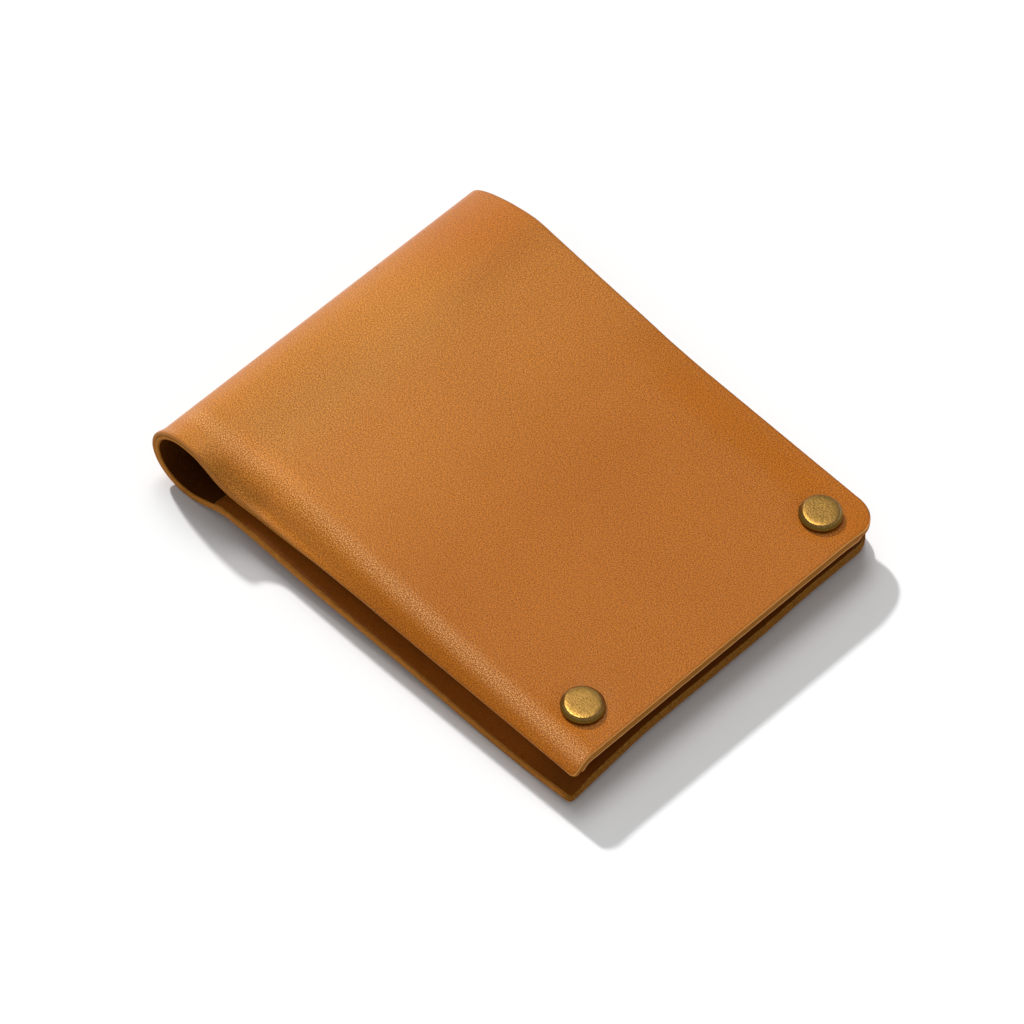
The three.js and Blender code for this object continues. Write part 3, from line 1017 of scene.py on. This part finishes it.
def lathe(name, profile, seat, outward, material):
    """A profile turned round its axis, standing on seat with its height along outward. It
    keeps two attributes: the place in the metal, and how near the rim that is, up to 1."""
    angles = np.linspace(0, 2 * math.pi, LATHE_SEGMENTS, endpoint=False)
    turn = Vector((0, 0, 1)).rotation_difference(Vector(outward)).to_matrix()
    vertices, rings = [], []
    for radius, height in profile:
        if radius == 0:
            rings.append([len(vertices)])
            vertices.append((0, 0, height))
        else:
            rings.append(list(range(len(vertices), len(vertices) + LATHE_SEGMENTS)))
            vertices += [(radius * math.cos(a), radius * math.sin(a), height) for a in angles]
    faces = []
    for upper, lower in zip(rings, rings[1:]):
        for number in range(LATHE_SEGMENTS):
            following = (number + 1) % LATHE_SEGMENTS
            corners = [
                upper[number % len(upper)],
                lower[number % len(lower)],
                lower[following % len(lower)],
                upper[following % len(upper)],
            ]
            faces.append(list(dict.fromkeys(corners)))
    mesh = bpy.data.meshes.new(name)
    mesh.from_pydata(vertices, [], faces)
    metal = mesh.attributes.new("metal", "FLOAT_VECTOR", "POINT")
    shift = Vector(seat) * PATTERN_SHIFT
    local = [component for vertex in vertices for component in Vector(vertex) + shift]
    metal.data.foreach_set("vector", local)
    largest = max(radius for radius, _ in profile)
    reach = mesh.attributes.new("reach", "FLOAT", "POINT")
    reach.data.foreach_set("value", [math.hypot(x, y) / largest for x, y, _ in vertices])
    mesh.transform(Matrix.Translation(Vector(seat)) @ turn.to_4x4())
    mesh.polygons.foreach_set("use_smooth", [True] * len(faces))
    mesh.set_sharp_from_angle(angle=math.radians(SHARP_ANGLE))
    mesh.materials.append(material)
    return add_object(name, mesh)


def rivets(brass):
    """A cap and an inner head with its pin, at both opening corners of both leaves."""
    for leaf in ("back", "front"):
        for end, across in RIVET_ACROSS.items():
            along = RIVET_FROM_OPENING[end]
            along = along if leaf == "back" else COVER_LENGTH - along
            x, z, heading = (float(np.interp(along, LINE[:, 0], LINE[:, n])) for n in (1, 2, 3))
            outward = (math.cos(heading + math.pi / 2), 0, math.sin(heading + math.pi / 2))
            seat = (x, NEAR_END + across, z)
            for part, profile in (("cap", cap_profile()), ("post", head_profile())):
                piece = lathe(f"{leaf}_{end}_{part}", profile, seat, outward, brass)
                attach(piece, f"{leaf}_leaf")
                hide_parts(f"{leaf}_{end}_rivet_{part}")


# Stage


def floor():
    """A plain pale square for the wallet to lie on."""
    pale = Nodes("floor").finish(FLOOR_WHITE, 0.9, Specular_IOR_Level=0.0)
    mesh = bpy.data.meshes.new("floor")
    signs = ((-1, -1), (1, -1), (1, 1), (-1, 1))
    corners = [(x * FLOOR_HALF, y * FLOOR_HALF, 0) for x, y in signs]
    mesh.from_pydata(corners, [], [(0, 1, 2, 3)])
    mesh.materials.append(pale)
    surface = add_object("floor", mesh)


def lamp(name, elevation, travel, strength, spread, colour, shows_in):
    """A sun whose light comes down at an elevation and travels towards an azimuth."""
    sun = bpy.data.lights.new(name, "SUN")
    sun.energy = strength
    sun.angle = math.radians(spread)
    sun.color = colour
    holder = add_object(name, sun)
    holder.visible_glossy = shows_in == "glossy"
    holder.visible_diffuse = shows_in == "diffuse"
    steepness, azimuth = math.radians(elevation), math.radians(travel)
    ray = Vector((
        math.cos(steepness) * math.cos(azimuth),
        math.cos(steepness) * math.sin(azimuth),
        -math.sin(steepness),
    ))
    holder.rotation_mode = "QUATERNION"
    holder.rotation_quaternion = ray.to_track_quat("-Z", "Y")


def lights():
    """The lamps and a plain white sky."""
    for name, settings in LAMPS.items():
        lamp(name, *settings)
    world = bpy.data.worlds.new("studio")
    world.use_nodes = True
    sky = world.node_tree.nodes["Background"]
    sky.inputs["Color"].default_value = (1, 1, 1, 1)
    sky.inputs["Strength"].default_value = SKY_STRENGTH
    bpy.context.scene.world = world


def camera():
    """A long lens at the viewing angle, looking at its target."""
    azimuth, elevation, roll = (
        math.radians(v) for v in (VIEW_AZIMUTH, VIEW_ELEVATION, VIEW_ROLL)
    )
    back = Vector((
        math.sin(azimuth) * math.cos(elevation),
        -math.cos(azimuth) * math.cos(elevation),
        math.sin(elevation),
    ))
    level = Vector((math.cos(azimuth), math.sin(azimuth), 0))
    upright = back.cross(level)
    right = math.cos(roll) * level + math.sin(roll) * upright
    up = back.cross(right)
    data = bpy.data.cameras.new("view")
    data.lens = LENS
    data.sensor_width = SENSOR
    data.clip_start = CLIP_START
    data.clip_end = CLIP_END
    eye = add_object("view", data)
    place_in_world = Matrix((right, up, back)).transposed().to_4x4()
    place_in_world.translation = VIEW_TARGET + VIEW_DISTANCE * back
    eye.matrix_world = place_in_world
    bpy.context.scene.camera = eye


grain = grain_leather()
cover_edge = cut_edge(
    "cover_cut_edge", COVER_EDGE_PALE, COVER_EDGE_DARK,
    grooves=(0.8, COVER_THICKNESS / MM - 0.1), lip=STACK / MM,
)
panel_edge = cut_edge(
    "pocket_cut_edge", PANEL_EDGE_PALE, PANEL_EDGE_DARK,
    grooves=(COVER_THICKNESS / MM,), lip=STACK / MM - 0.2,
)
cover_pieces(grain, flesh_leather(), cover_edge)
pocket_panels(pocket_leather(), panel_edge)
rivets(aged_brass())
floor()
lights()
camera()
bpy.context.scene.view_settings.view_transform = "Standard"
